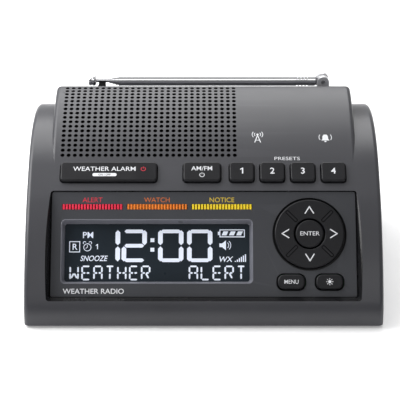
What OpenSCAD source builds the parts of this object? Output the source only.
// Desk-top emergency weather radio: arched cabinet with a raised speaker hump, a recessed front
// panel with display and keys, and a telescopic antenna lying along the rear edge.
// Millimetres. X runs to the right, Y to the back, Z up. The origin is on the table, under the
// middle of the cabinet.

/* [Cabinet] */
// Width across the shoulders
body_w = 190; // [186:1:200]
// Width of the raised hump, and of the rear pod behind it
hump_w = 166; // [166:1:170]
// Depth from the front lip to the back wall
body_d = 135.2; // [134.8:0.2:140]
// Moulded wall thickness
wall = 2.4; // [2:0.1:2.8]
// Height of the cabinet's lower edge above the table
foot_gap = 1.5; // [1.2:0.1:1.6]

/* [Front panel] */
// Length of the panel up its slope
panel_len = 56.8; // [56:0.1:57]
// Width of the fascia plate
fascia_w = 162.2; // [160:0.2:162.2]
// Display opening, width
display_w = 98.9; // [94:0.1:99.5]
// Display opening, height
display_h = 31.4; // [28:0.1:32]
// Radius of the direction pad
pad_r = 18.6; // [17:0.1:18.8]
// Radius of the enter key
enter_r = 7.5; // [6.8:0.1:7.6]

/* [Keys] */
// Height of the top row of keys
key_h = 12; // [10:0.5:12.5]
// Width of a preset key
preset_w = 13.2; // [12:0.1:13.4]
// How far a key stands out of its opening
key_proud = 2; // [1:0.1:2.5]

/* [Speaker grille] */
// Spacing of the grille holes
grille_pitch = 3.34; // [3.3:0.01:3.36]
// Radius of a grille hole
grille_hole_r = 1.08; // [0.8:0.02:1.2]
// Radius of the loudspeaker
speaker_r = 26; // [24:0.5:26]

/* [Antenna] */
// Radius of the outer tube
antenna_r = 3.3; // [3.2:0.05:3.4]
// Height of the antenna's centre line when it is folded down
antenna_z = 85.9; // [85.5:0.1:87]

/* [Hidden] */
$fn = 48;
eps = 0.01;

// ---- Side profile ----------------------------------------------------------------------------
// A profile point is [y, z, a], where a is the elevation of the outward normal: 0 faces the
// front, 90 faces up and 180 faces the back. Each stretch is an arc from one elevation to the next.
function arc(p, a2, r, n = 6) = [for (i = [1:n]) let (a = p[2] + (a2 - p[2]) * i / n)
    [p[0] + r * (cos(p[2]) - cos(a)), p[1] + r * (sin(a) - sin(p[2])), a]];
function last(list) = list[len(list) - 1];
function grow(path, a2, r, n = 6) = concat(path, arc(last(path), a2, r, n));
function outline(path, inset) = [for (p = path) [p[0] + inset * cos(p[2]), p[1] - inset * sin(p[2])]];

front_y = -body_d / 2;
rear_y = body_d / 2;
pod_top = 77;
split_a = 59.5;  // where the shoulders and the hump part
shoulder_r = 76.4;

function crest(path, a2) = grow(path, a2, 545, 2);
face_path = grow(grow(grow([[front_y, 3.4, 0]], 31, 22, 8), 52, 146, 8), 57, 60, 3);
row_foot = last(face_path);
row_path = grow(face_path, 59, 400, 2);
common_path = crest(row_path, split_a);
split = last(common_path);

shoulder_arc = grow(common_path, 118, shoulder_r, 12);
shoulder_end = last(shoulder_arc);
shoulder_path = grow(shoulder_arc, 180, (rear_y - shoulder_end[0]) / (1 + cos(118)), 6);

crest_a = last(crest(row_path, 60));
crest_b = last(arc(crest_a, 71.5, 170, 1));
crest_c = last(arc(crest_b, 87.5, 77, 1));
hump_path = grow(grow(grow(crest([split], 60), 71.5, 170, 6), 87.5, 77, 8), 180, 7, 8);
hump_rear_y = last(hump_path)[0];
pod_path = grow([[hump_rear_y - 10, pod_top, 90], [rear_y - 3, pod_top, 90]], 180, 3, 6);

module profile(path, inset, low, front, back)
    polygon(concat([[front, low]], outline(path, inset), [[back, low]]));

// A slab of a side profile, width wide, centred on the middle plane
module across(width)
    rotate([90, 0, 90]) linear_extrude(width, center = true) children();

// ---- Frames on the cabinet's skin ------------------------------------------------------------
module on_skin(p) translate([0, p[0], p[1]]) rotate([90 - p[2], 0, 0]) children();

panel_a = 40;                       // normal elevation of the panel
panel_foot = [front_y + 8.2, 14.5, panel_a];
module on_panel() on_skin(panel_foot) children();

key_row = last(arc(row_foot, 58.9, 400, 1));
module on_key_row() on_skin(key_row) children();

// Point on the hump's crest at distance s behind the top key row
function turn(p, s, r) = last(arc(p, p[2] + s / r * 180 / PI, r, 1));
crest_len = 11.5 * PI / 180 * 170;
function on_crest(s) = s < crest_len ? turn(crest_a, s, 170) : turn(crest_b, s - crest_len, 77);

// ---- Small shapes ----------------------------------------------------------------------------
module rounded(w, h, r) {
    square([w - 2 * r, h], center = true);
    square([w, h - 2 * r], center = true);
    for (x = [-1, 1], y = [-1, 1]) translate([x * (w / 2 - r), y * (h / 2 - r)]) circle(r);
}
module slab(w, h, r, z1, z2) translate([0, 0, z1]) linear_extrude(z2 - z1) rounded(w, h, r);
module rod(r, z1, z2) translate([0, 0, z1]) cylinder(h = z2 - z1, r = r);
module ring(r_out, r_in, z1, z2) difference() {
    rod(r_out, z1, z2);
    rod(r_in, z1 - 1, z2 + 1);
}
module block(low, high) translate(low) cube(high - low);
module along_x(x1, x2, r) translate([x1, 0, 0]) rotate([0, 90, 0]) cylinder(h = x2 - x1, r = r);

// Round wire swept along points
function unit(v) = v / norm(v);
function heading(p, i) = unit(p[min(i + 1, len(p) - 1)] - p[max(i - 1, 0)]);
function smooth(p, n) = [for (i = [0:len(p) - 2]) for (k = [0:n - 1]) let (t = k / n,
    a = p[max(i - 1, 0)], b = p[i], c = p[i + 1], d = p[min(i + 2, len(p) - 1)])
    0.5 * (2 * b + (c - a) * t + (2 * a - 5 * b + 4 * c - d) * t * t + (3 * b - a - 3 * c + d) * t * t * t)];
module wire(points, r, sides = 8) {
    p = concat(smooth(points, 4), [last(points)]);
    side = [for (i = [0:len(p) - 1]) unit(cross(heading(p, i), [0.31, 0.23, 0.92]))];
    rings = [for (i = [0:len(p) - 1]) for (k = [0:sides - 1])
        p[i] + r * (cos(360 * k / sides) * side[i] + sin(360 * k / sides) * cross(heading(p, i), side[i]))];
    n = len(p);
    skin = [for (i = [0:n - 2]) for (k = [0:sides - 1])
        let (a = i * sides, b = a + sides, m = (k + 1) % sides)
        for (t = [[a + k, b + k, b + m], [a + k, b + m, a + m]]) t];
    ends = [[for (k = [0:sides - 1]) k], [for (k = [0:sides - 1]) n * sides - 1 - k]];
    polyhedron(rings, concat(skin, ends));
}

// ---- Cabinet ---------------------------------------------------------------------------------
edge_r = 2.6;    // rounding of the shoulders' and hump's side edges
edge_steps = [for (a = [0:18:90]) edge_r * [1 - sin(a), 1 - cos(a)]];

// Slabs whose hull is a bar with rounded side edges. Each step is [inset, drawn in at the side]
module soft_bar(path, width, low, front, back) hull()
    for (step = edge_steps)
        across(width - 2 * step[1]) profile(path, step[0], low, front + step[0], back - step[0]);

module cabinet_outside() {
    soft_bar(shoulder_path, body_w, foot_gap, front_y, rear_y);
    soft_bar(hump_path, hump_w, 50, split[0], hump_rear_y);
    soft_bar(pod_path, hump_w, foot_gap, 0, rear_y);
}

module cabinet_inside(inset, low) {
    across(body_w - 2 * inset) profile(shoulder_path, inset, low, front_y + inset, rear_y - inset);
    across(hump_w - 2 * inset) profile(hump_path, inset, 50, split[0] + inset, hump_rear_y - inset);
    across(hump_w - 2 * inset) profile(pod_path, inset, low, 0, rear_y - inset);
}

// Openings in the skin. The walls of the panel recess slope outwards.
recess_w = fascia_w + 0.8;
module panel_plan(side, low, high, z1, z2) translate([0, (high + low) / 2, 0])
    slab(recess_w + 2 * side, high - low, 1.5, z1, z2);
module panel_recess() on_panel() {
    panel_plan(0, -0.3, panel_len + 0.4, -2.3, 0.1);
    hull() {
        panel_plan(0, -0.3, panel_len + 0.4, 0, 0.1);
        panel_plan(3.4, -6, panel_len + 1, 8.4, 8.5);
    }
}
module fascia_seat() on_panel() difference() {
    panel_plan(3.6, -5, panel_len + 1.6, -4.2, 9);
    panel_plan(-3, 1.8, panel_len - 1.2, -6, 0);
}

key_gap = 0.5;
weather_w = 51.9;
radio_w = 20.1;
preset_x = [for (i = [0:3]) 20.5 + 16.45 * i];
top_keys = concat([[-51.1, weather_w], [-0.9, radio_w]], [for (x = preset_x) [x, preset_w]]);
module key_openings() on_key_row() for (k = top_keys)
    translate([k[0], 0, 0]) slab(k[1] + 2 * key_gap, key_h + 2 * key_gap, 2.5, -6, 6);

grille_cols = 29;
grille_rows = 17;
grille_x = -76.6;              // first column of holes
grille_s = 1.2;                // first row
grille_edge = 2.4;             // rim outside the outer holes
grille_low_y = on_crest(grille_s - grille_edge)[0];
grille_high_y = on_crest(grille_s + (grille_rows - 1) * grille_pitch)[0] + 3.2;
grille_right_x = grille_x + (grille_cols - 1) * grille_pitch + grille_edge;
module grille_window(gap, low, high) block([grille_x - grille_edge - gap, grille_low_y - gap, low],
    [grille_right_x + gap, grille_high_y + gap, high]);

bay_low = [-62, rear_y - 9.1, 12];     // rear bay for the sockets
bay_high = [24, rear_y + 1, 32];
module socket_bay() block(bay_low, bay_high);
module socket_bay_walls() block(bay_low - [wall, wall, wall],
    [bay_high[0] + wall, rear_y - 1, bay_high[2] + wall]);

socket_z = 22;
dc_x = -50;
aerial_x = -22;
alert_x = 8;
module at_socket(x) translate([x, bay_low[1], socket_z]) rotate([-90, 0, 0]) children();
module socket_holes() {
    at_socket(dc_x) rod(4.1, -4, 1);
    at_socket(aerial_x) rod(4.25, -4, 1);
    at_socket(alert_x) rod(3.1, -4, 1);
}

swivel_x = 68.4;
antenna_y = rear_y - 6;
post_r = 3.2;
boss_at = [for (x = [-1, 1], y = [-46, 40]) [x * (body_w / 2 - 8.2), y]];
module case_bosses() for (b = boss_at) translate([b[0], b[1], 0]) {
    rod(4, 4, 24);
    side = sign(b[0]);
    block([min(0, side * 7), -1.2, 4], [max(0, side * 7), 1.2, 24]);
}
module upper_housing() color("#4a4b50") difference() {
    union() {
        difference() {
            cabinet_outside();
            cabinet_inside(wall, -1);
        }
        socket_bay_walls();
        intersection() {
            fascia_seat();
            across(body_w - wall) profile(common_path, wall / 2, 6, front_y + wall / 2, split[0]);
        }
        case_bosses();
        translate([swivel_x, antenna_y, 0]) rod(5.5, pod_top - 7, pod_top - 1);
    }
    panel_recess();
    key_openings();
    grille_window(0, 60, 95);
    socket_bay();
    socket_holes();
    for (b = boss_at) translate([b[0], b[1], 0]) rod(1.2, 0, 18);
    translate([swivel_x, antenna_y, 0]) rod(post_r + 0.06, 60, 90);
}

module grille_sheet(inset, depth) difference() {
    across(hump_w - 2 * edge_r - 0.5) profile(hump_path, inset, 60, split[0], hump_rear_y - inset);
    across(hump_w) profile(hump_path, inset + depth, 59, split[0] - 1, hump_rear_y - inset - depth);
}
module at_speaker_corners() at_speaker() for (a = [45:90:315])
    rotate(a) translate([speaker_r - 1.4, 0, 0]) children();
module speaker_grille() color("#4a4b50") difference() {
    union() {
        intersection() {
            grille_sheet(0, wall - 0.4);
            grille_window(0.06, 60, 95);
        }
        intersection() {
            at_speaker_corners() rod(1.95, 0.05, 12);
            across(hump_w - 10) profile(hump_path, 1, 50, split[0], hump_rear_y - 1);
        }
    }
    at_speaker_corners() rod(0.7, -1, 2.6);
    for (j = [0:grille_rows - 1]) on_skin(on_crest(grille_s + grille_pitch * j))
        for (i = [0:grille_cols - 1])
            translate([grille_x + grille_pitch * i, 0, 0]) rod(grille_hole_r, -4, 2);
}

// ---- Base, battery bay and door --------------------------------------------------------------
base_gap = 0.2;
base_top = foot_gap + 2.4;
cell_r = 7.25;
cell_len = 50.5;
cell_pitch = 15.2;
bay_x = 34;                    // middle of the battery bay
bay_y = -9;
bay_w = 4 * cell_pitch + 1;
bay_len = 59;
cell_z = base_top + 0.5 + cell_r;
bay_top = cell_z + cell_r + 0.3;
door_hinge_y = bay_y + bay_len / 2 - 1.2;
door_front_y = bay_y - bay_len / 2 + 0.3;
door_w = bay_w - 0.6;
door_z = foot_gap + 1.1;       // height of the door's hinge line
hinge_r = 0.9;
feet_at = [for (x = [-80, 80], y = [-52, 52]) [x, y]];
board_posts = [[-78, -26, 12], [-14, -26, 12], [-78, 33, 12], [-14, 33, 12], [-56, 44, 14], [19, 44, 14]];

module lower_housing() color("#232427") difference() {
    union() {
        intersection() {
            cabinet_inside(wall + base_gap, foot_gap);
            block([-body_w, -body_d, foot_gap], [body_w, body_d, base_top]);
        }
        translate([bay_x, bay_y, base_top - eps]) linear_extrude(bay_top + 1.4 - base_top)
            square([bay_w + 3, bay_len + 3], center = true);
        for (p = board_posts) translate([p[0], p[1], 0]) rod(2.6, base_top - eps, p[2]);
    }
    translate([bay_x, bay_y, foot_gap - 1]) linear_extrude(bay_top - foot_gap + 1)
        square([bay_w, bay_len], center = true);
    for (b = boss_at) translate([b[0], b[1], 0]) {
        rod(1.7, 0, 5);
        rod(3.1, 0, foot_gap + 1.2);
    }
    for (b = boss_at) translate([b[0], b[1], 0]) rod(4.3, base_top - 0.4, 6);
    for (f = feet_at) translate([f[0], f[1], 0]) rod(6.1, 0, foot_gap + 1);
    for (p = board_posts) translate([p[0], p[1], 0]) rod(1, 5, 20);
}

// Snap door with a rounded hinge edge at its rear and a finger latch at its front
module battery_door() color("#232427") translate([bay_x, 0, 0]) difference() {
    union() {
        block([-door_w / 2, door_front_y, foot_gap], [door_w / 2, door_hinge_y, foot_gap + 1.8]);
        translate([0, door_hinge_y, door_z]) along_x(-door_w / 2, door_w / 2, hinge_r);
        block([-6, door_front_y, foot_gap + 1.8 - eps], [6, door_front_y + 1.2, 5.2]);
    }
    for (i = [0:4]) translate([0, door_front_y + 4 + 2 * i, 0])
        block([-7, 0, foot_gap - 1], [7, 1, foot_gap + 0.6]);
}

module rubber_feet() color("#151515") for (f = feet_at) translate([f[0], f[1], 0]) rod(6, 0, foot_gap + 1);

module case_screws() color("#8c8c90") for (b = boss_at) translate([b[0], b[1], 0]) difference() {
    union() {
        rod(2.9, foot_gap - 0.2, foot_gap + 1.2);
        rod(1.2, foot_gap + 1.1, 14);
    }
    for (a = [0, 90]) rotate(a) block([-1.8, -0.35, 0], [1.8, 0.35, foot_gap + 0.5]);
}

cells = [for (i = [0:3]) [bay_x + (i - 1.5) * cell_pitch, i % 2 == 0 ? 1 : -1]];
module battery_cells() for (c = cells) translate([c[0], bay_y, cell_z]) rotate([90 * c[1], 0, 0])
    color("#2f5d8a") rotate_extrude() polygon([[0, -24.5], [cell_r, -24.5], [cell_r, 24], [2.75, 24],
        [2.75, 25.2], [0, 25.2]]);

module battery_springs() color("#c8c8cc") for (c = cells) translate([c[0], bay_y + c[1] * 27.2, cell_z])
    rotate([90, 0, 0]) for (k = [0:2]) translate([0, 0, k * 0.9 - 0.9])
        rotate_extrude() translate([4.2 - 0.4 * k, 0]) circle(0.42, $fn = 16);

module battery_contacts() color("#c8c8cc") for (c = cells) {
    for (side = [-1, 1]) translate([c[0], bay_y + side * 28.95, cell_z]) cube([11, 0.5, 12], center = true);
    translate([c[0], bay_y - c[1] * 27.05, cell_z]) rotate([90, 0, 0])
            cylinder(h = 3.5, r = 2.2, center = true);
}

// ---- Front panel -----------------------------------------------------------------------------
display_x = -24.9;
display_y = 24.35;
display_depth = 4;
bezel = 1.65;                  // width of the bevel round the display
pad_x = 56.4;
pad_y = 33.7;
pad_gap = 1.2;
small_key_x = [46.4, 66.7];
small_key_y = 7.8;
small_key_w = 14.4;
small_key_h = 8;
small_key_gap = 0.7;
bar_w = 32.5;
bar_h = 3;
bar_y = 48.6;
bar_x = [for (i = [-1:1]) display_x + 34.6 * i];

module at_display() on_panel() translate([display_x, display_y, 0]) children();
module at_pad() on_panel() translate([pad_x, pad_y, 0]) children();

module front_fascia() color("#45464b") difference() {
    union() {
        on_panel() translate([0, panel_len / 2, 0]) slab(fascia_w, panel_len, 1.2, -2.2, 0);
        at_display() slab(display_w + 5, display_h + 5, 2.5, -display_depth, -2.1);
    }
    at_display() {
        hull() {
            slab(display_w + 2 * bezel, display_h + 2 * bezel, 2.2, 0, 0.5, $fn = 32);
            slab(display_w, display_h, 1.4, -display_depth - 1, -display_depth + 0.3, $fn = 32);
        }
    }
    at_pad() rod(pad_r + pad_gap, -4, 1);
    on_panel() {
        for (x = small_key_x) translate([x, small_key_y, 0])
            slab(small_key_w + 2 * small_key_gap, small_key_h + 2 * small_key_gap, 3.9, -4, 1);
        for (x = bar_x) translate([x, bar_y, 0]) slab(bar_w, bar_h, 0.3, -4, 1);
    }
}

module display_window() color("#20272e", 0.5) at_display()
    slab(display_w + 4.6, display_h + 4.6, 1.5, -display_depth - 1.3, -display_depth - 0.1);
module lcd_panel() color("#1d252d") at_display()
    slab(display_w + 2, display_h + 1.6, 0.5, -7.4, -display_depth - 1.4);
module lcd_backlight() color("#e9ecf2") at_display()
    slab(display_w + 2, display_h + 1.6, 0.5, -8.6, -7.5);
module lcd_holder() color("#2a2b2e") at_display() difference() {
    slab(display_w + 5.6, display_h + 4.6, 1.5, -8.7, -display_depth - 1.4);
    slab(display_w + 2.4, display_h + 2, 0.5, -9, 0);
}

module light_bar(i, tint) color(tint) on_panel() translate([bar_x[i], bar_y, 0]) {
    slab(bar_w - 0.2, bar_h - 0.2, 0.25, -2.4, 0.25);
    slab(bar_w + 1.4, bar_h + 1.2, 0.4, -3.2, -2.3);
    slab(bar_w - 2, bar_h - 0.2, 0.25, -6.2, -3.1);
}
module red_light_bar() light_bar(0, "#d8303c");
module orange_light_bar() light_bar(1, "#d8741e");
module yellow_light_bar() light_bar(2, "#e0b81c");

board_z = -10.6;               // back face of the front board, from the panel plane
module alert_leds() color("#f2f2e8") on_panel() for (x = bar_x, k = [-1, 1])
    translate([x + 9 * k, bar_y, 0]) slab(3.5, 2.8, 0.2, board_z + 1.6, -6.4);
module front_board() color("#1f5a34") on_panel() translate([0, 28.5, 0]) difference() {
    slab(154, 50, 1, board_z, board_z + 1.6);
    for (x = [-73, 36, 73], y = [-22, 22]) translate([x, y, 0]) rod(1.3, board_z - 1, 0);
}
module front_key_mat() color("#3a3b3f") {
    at_pad() {
        ring(20.5, 4.2, board_z + 1.7, -7.7);
        rod(4.3, board_z + 1.7, -7.3);
        for (a = [0:90:270]) rotate(a) translate([16.2, 0, 0]) rod(2.1, -7.8, -5.1);
    }
    on_panel() for (x = small_key_x) translate([x, small_key_y, 0]) {
        slab(15, 9, 2, board_z + 1.7, -7.7);
        rod(3, -7.8, -4.5);
    }
}

// ---- Keys ------------------------------------------------------------------------------------
// A key cap with a bevelled crown and a flange that holds it behind the panel
module key_cap(w, h, r, crown, skin, flange) {
    slab(w, h, r, skin - 0.6, crown - 0.7);
    slab(w - 0.7, h - 0.7, r - 0.3, crown - 0.8, crown - 0.25);
    slab(w - 1.4, h - 1.4, r - 0.6, crown - 0.35, crown);
    slab(w + 2 * flange, h + 2 * flange, r + flange, skin - 1.4, skin - 0.4);
}
module top_key(x, w) color("#1b1b1e") on_key_row() translate([x, 0, 0]) {
    key_cap(w, key_h, 2, key_proud, -wall, 1);
    slab(w - 3, 4, 1, -wall - 2.2, -wall - 1.3);
}
module weather_button() top_key(top_keys[0][0], top_keys[0][1]);
module radio_button() top_key(top_keys[1][0], top_keys[1][1]);
module preset_button(i) top_key(preset_x[i], preset_w);
module small_key(i) color("#1b1b1e") on_panel() translate([small_key_x[i], small_key_y, 0])
    key_cap(small_key_w, small_key_h, 3.3, 1.5, -2.1, 1.4);

module enter_button() color("#1d1d20") at_pad() {
    rod(enter_r, -5.3, 1.3);
    rod(enter_r - 0.5, 1.2, 1.7);
    rod(enter_r + 1.6, -6.1, -5.2);
}
// Four-way ring with a shallow slot on each diagonal
module direction_pad() color("#1b1b1e") at_pad() difference() {
    union() {
        ring(pad_r, enter_r + 0.8, -4.1, 1.1);
        ring(pad_r - 0.6, enter_r + 1.2, 1, 1.6);
        ring(pad_r + 2, enter_r + 0.8, -4.1, -3.1);
    }
    for (a = [45:90:315]) rotate(a) translate([13.4, 0, 0]) slab(8.2, 1.8, 0.85, 1.15, 3);
}
// Ring between the cabinet and the direction pad. It tips up and down on the pins at its sides, and
// the pad tips left and right on the other two.
module pad_rocker() color("#303135") at_pad() {
    ring(13.4, 10.4, -6.2, -4.75);
    for (a = [0:90:270]) rotate(a) translate([0, 0, -5.3]) along_x(12.9, 13.95, 0.6);
}

key_board_z = -10.4;
module top_key_mat() color("#3a3b3f") on_key_row() {
    slab(165, 13.2, 2, key_board_z + 1.7, -7.7);
    for (k = top_keys) translate([k[0], 0, 0]) slab(k[1] - 5, 3, 1, -7.8, -wall - 3.2);
}
module top_key_board() color("#1f5a34") on_key_row() slab(165, 13.2, 0.6, key_board_z, key_board_z + 1.6);

// ---- Loudspeaker -----------------------------------------------------------------------------
speaker_seat = [22.7, 75.1, 69.4];
speaker_x = grille_x + (grille_cols - 1) * grille_pitch / 2;
module at_speaker() on_skin(speaker_seat) translate([speaker_x, 0, 0]) children();
module speaker_basket() color("#6a6c70") at_speaker() difference() {
    union() {
        rod(speaker_r, -1.2, 0);
        rotate_extrude() polygon([[speaker_r - 2.4, -1.1], [speaker_r - 3.4, -1.1], [13, -12], [9, -12],
            [9, -13], [14, -13]]);
    }
    rod(speaker_r - 3.2, -1.3, 1);
    for (a = [45:90:315]) rotate(a) translate([speaker_r - 1.4, 0, 0]) rod(0.8, -2, 1);
}
module speaker_cone() color("#26272a") at_speaker() rotate_extrude() polygon([[speaker_r - 3.4, -0.2],
    [speaker_r - 3.4, 0.4], [speaker_r - 5, 1], [speaker_r - 6.6, 0.2], [7, -7], [0, -5], [0, -5.8], [7, -8],
    [speaker_r - 6.6, -0.8], [speaker_r - 5, -0.2]]);
module speaker_magnet() color("#3c3d40") at_speaker() {
    rod(15, -19, -13.1);
    rod(13.5, -20.4, -18.9);
}
module speaker_cloth() color("#141416") difference() {
    intersection() {
        grille_sheet(wall + 0.1, 0.4);
        block([grille_x - grille_edge - 2, grille_low_y + 0.3, 60],
            [grille_right_x + 2, grille_high_y + 2, 95]);
    }
    at_speaker_corners() rod(2.4, -1, 14);
}
module speaker_screws() color("#b9b9bd") at_speaker_corners() difference() {
    union() {
        rod(1.05, -2.2, -1.2);
        rod(0.7, -1.3, 2.5);
    }
    for (b = [0, 90]) rotate(b) block([-0.7, -0.15, -3], [0.7, 0.15, -1.8]);
}

// ---- Boards and sockets ----------------------------------------------------------------------
main_board_z = 12;
module main_board() color("#1f5a34") difference() {
    block([-82, -34, main_board_z], [-6, 39, main_board_z + 1.6]);
    for (p = board_posts) translate([p[0], p[1], 0]) rod(1.2, 10, 20);
}
chips = [[-66, -16, 12, 12, 1.8], [-44, -20, 8, 5, 1.5], [-26, -14, 10, 6, 1.6], [-70, 6, 6, 9, 1.5],
    [-22, 19, 7, 5, 2.2], [-50, 18, 5, 4, 1.5]];
cans = [[-65, -28.5, 3.2, 8], [-34, -27, 2.5, 7], [-76, -8, 4, 11], [-77, 10, 3.2, 9], [-12, 2, 3.2, 8],
    [-12, 14, 2.5, 6]];
module board_components() color("#2b2b2d") translate([0, 0, main_board_z + 1.6]) {
    for (c = chips) block([c[0] - c[2] / 2, c[1] - c[3] / 2, 0.02], [c[0] + c[2] / 2, c[1] + c[3] / 2, c[4]]);
    for (c = cans) translate([c[0], c[1], 0]) rod(c[2], 0.02, c[3]);
}
module tuner_shield() color("#b4b6ba") translate([-38, 2, main_board_z + 1.6]) difference() {
    block([-13, -9, 0.02], [13, 9, 6]);
    block([-12.6, -8.6, -1], [12.6, 8.6, 5.6]);
    for (x = [-9:4.5:9], y = [-5, 0, 5]) translate([x, y, 0]) rod(0.9, 5, 7);
}
ferrite_y = 31;
ferrite_z = 29;
module ferrite_rod() color("#37373a") translate([0, ferrite_y, ferrite_z]) along_x(-72, -20, 4);
module ferrite_coil() color("#b5622b") translate([0, ferrite_y, ferrite_z]) difference() {
    union() {
        along_x(-62, -46, 5);
        for (x = [-63, -46]) along_x_at(x, 1, 5.8);
    }
    along_x(-70, -40, 4.05);
}
module along_x_at(x, len, r) along_x(x, x + len, r);
module ferrite_holders() color("#d8d8d2") for (x = [-70, -26]) difference() {
    union() {
        block([x, ferrite_y - 5.4, main_board_z + 1.62], [x + 4, ferrite_y + 5.4, ferrite_z + 1]);
        translate([0, ferrite_y, ferrite_z]) along_x(x, x + 4, 5.4);
    }
    translate([0, ferrite_y, ferrite_z]) along_x(x - 1, x + 5, 4.03);
}

jack_board_z = 14;
jack_seat = socket_z - jack_board_z - 1.62;
module jack_board() color("#1f5a34") difference() {
    block([-61, 40, jack_board_z], [23, 56, jack_board_z + 1.6]);
    for (p = board_posts) translate([p[0], p[1], 0]) rod(1.2, 10, 20);
}
module jack_body(w, h, depth) translate([-w / 2, -h / 2, -wall - 0.1 - depth])
    cube([w, h / 2 + jack_seat, depth]);
module dc_jack() color("#1c1c1e") at_socket(dc_x) {
    difference() {
        union() {
            jack_body(9, 10, 11.5);
            rod(4, -wall - 0.2, -0.1);
        }
        rod(2.8, -11, 1);
    }
    rod(1, -11.5, -1);
}
module aerial_socket() color("#c9a24a") at_socket(aerial_x) difference() {
    union() {
        jack_body(8.6, 10, 8);
        rod(4.15, -wall - 0.2, 8);
        rod(5.6, 0.02, 0.9);
    }
    rod(1.7, -6, 9);
}
module alert_jack() color("#1c1c1e") at_socket(alert_x) difference() {
    union() {
        jack_body(8, 8, 13);
        rod(3, -wall - 0.2, 0.6);
        rod(4.4, 0.02, 0.6);
    }
    rod(1.8, -13.4, 1);
}

// ---- Antenna ---------------------------------------------------------------------------------
nest = 0.5;                    // how much thinner in radius each section is than the last
tongue_t = 2.8;
cheek_r = 3.4;
module at_antenna() translate([0, antenna_y, antenna_z]) children();
module across_pivot(r, t) translate([swivel_x, 0, 0]) rotate([90, 0, 0])
    cylinder(h = t, r = r, center = true);

module antenna_rest() color("#161618") {
    rest_top = antenna_z - antenna_r + 0.35;   // clear of the second tube when it slides out
    block([-60.2, hump_rear_y + 1, pod_top + 0.02], [-56.2, rear_y - 1, rest_top]);
    block([-60.2, hump_rear_y + 1, rest_top - eps], [-56.2, antenna_y - antenna_r - 0.6, antenna_z - 1.2]);
}
module antenna_swivel() color("#c9cbd0") difference() {
    union() {
        translate([swivel_x, antenna_y, 0]) {
            rod(post_r, pod_top - 8, antenna_z - cheek_r - 0.6);
            rod(4.6, pod_top + 0.05, pod_top + 1.4);
            rod(post_r + 0.3, pod_top - 8.4, pod_top - 7.3);
        }
        at_antenna() {
            across_pivot(cheek_r, 2 * cheek_r);
            translate([swivel_x, 0, 0]) block([-cheek_r, -cheek_r, -cheek_r - 1.6], [cheek_r, cheek_r, 0]);
        }
    }
    at_antenna() {
        translate([swivel_x, 0, 0])
            block([-6, -tongue_t / 2 - 0.1, -cheek_r - 0.2], [6, tongue_t / 2 + 0.1, 5]);
        across_pivot(1.2, 10);
    }
}
module antenna_pivot_pin() color("#9a9ca1") at_antenna() {
    across_pivot(1.19, 2 * cheek_r - 0.2);
}

function stop_x(i) = -48.6 - 1.75 * i;      // far end of section i when it is closed
module section(i, near_x) color("#c9cbd0") at_antenna() difference() {
    along_x(stop_x(i), near_x, antenna_r - nest * i);
    along_x(stop_x(i) - 1, near_x + 1, antenna_r - 0.45 - nest * i);
}
module antenna_tube_1() {
    color("#c9cbd0") at_antenna() difference() {
        union() {
            along_x(stop_x(0), 64, antenna_r);
            across_pivot(3.15, tongue_t);
            block([63.9, -tongue_t / 2, -2.4], [swivel_x, tongue_t / 2, 2.4]);
        }
        along_x(stop_x(0) - 1, 52.2, antenna_r - 0.45);
        across_pivot(1.25, 10);
        for (k = [0:3]) difference() {
            along_x(53 + 1.9 * k, 53.9 + 1.9 * k, antenna_r + 1);
            along_x(52, 66, antenna_r - 0.35);
        }
    }
}
module antenna_tube_2() section(1, 51.4);
module antenna_tube_3() section(2, 50.6);
module antenna_tube_4() section(3, 49.8);
module antenna_rod() color("#c9cbd0") at_antenna() {
    along_x(-61.4, 49, antenna_r - 4 * nest);
    along_x(-66, -65.2, antenna_r - 0.6);
    along_x(-65.3, -62, antenna_r - 0.1);
    along_x(-62.1, -61.3, antenna_r - 0.6);
}

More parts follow.
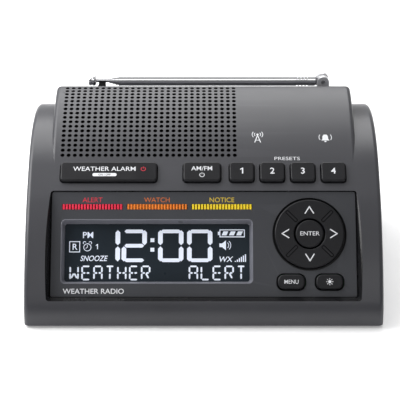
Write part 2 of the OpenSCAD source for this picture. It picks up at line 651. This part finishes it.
// ---- Wiring ----------------------------------------------------------------------------------
module speaker_leads() for (k = [0, 1]) color(k == 0 ? "#b03030" : "#202022") wire([
    [speaker_x - 8 - 2 * k, 42.3, 75.5], [speaker_x - 12 - 2 * k, 46.5, 68], [speaker_x - 15 - 2 * k, 46, 54],
    [speaker_x - 18 - 2 * k, 42.5, 42], [speaker_x - 20 - 2 * k, 39.8, 32],
    [speaker_x - 21 - 2 * k, 38.4, 22], [speaker_x - 21 - 2 * k, 36.5, 14.4]], 0.6);
module aerial_lead() color("#d8d8d8") wire([[swivel_x - 1, antenna_y - 2, 67.5], [swivel_x - 4, 56, 60],
    [swivel_x - 15, 50, 46], [swivel_x - 30, 47, 33], [26, 48, 23], [15, 50, 16.4]], 0.6);
// Side view of the flat cable from the front board down to the main board
ribbon_line = [[-37.2, 23.6], [-36.2, 20.6], [-34.6, 18], [-32.2, 16], [-29.2, 14.7], [-26, 13.9]];
module ribbon_cable() color("#b9b9b4") translate([-50, 0, 0]) across(16)
    polygon(concat(ribbon_line, [for (i = [len(ribbon_line) - 1:-1:0]) ribbon_line[i] + [0.3, 0.3]]));

// ---- Output ----------------------------------------------------------------------------------
upper_housing();
speaker_grille();
lower_housing();
battery_door();
rubber_feet();
case_screws();
front_fascia();
display_window();
lcd_panel();
lcd_backlight();
lcd_holder();
red_light_bar();
orange_light_bar();
yellow_light_bar();
alert_leds();
front_key_mat();
front_board();
top_key_mat();
top_key_board();
weather_button();
radio_button();
preset_button(0);  // preset_button_1
preset_button(1);  // preset_button_2
preset_button(2);  // preset_button_3
preset_button(3);  // preset_button_4
small_key(0);  // menu_button
small_key(1);  // light_button
enter_button();
direction_pad();
pad_rocker();
speaker_basket();
speaker_cone();
speaker_magnet();
speaker_cloth();
speaker_screws();
main_board();
board_components();
tuner_shield();
ferrite_rod();
ferrite_coil();
ferrite_holders();
jack_board();
dc_jack();
aerial_socket();
alert_jack();
battery_cells();
battery_springs();
battery_contacts();
antenna_rest();
antenna_swivel();
antenna_pivot_pin();
antenna_tube_1();
antenna_tube_2();
antenna_tube_3();
antenna_tube_4();
antenna_rod();
speaker_leads();
aerial_lead();
ribbon_cable();
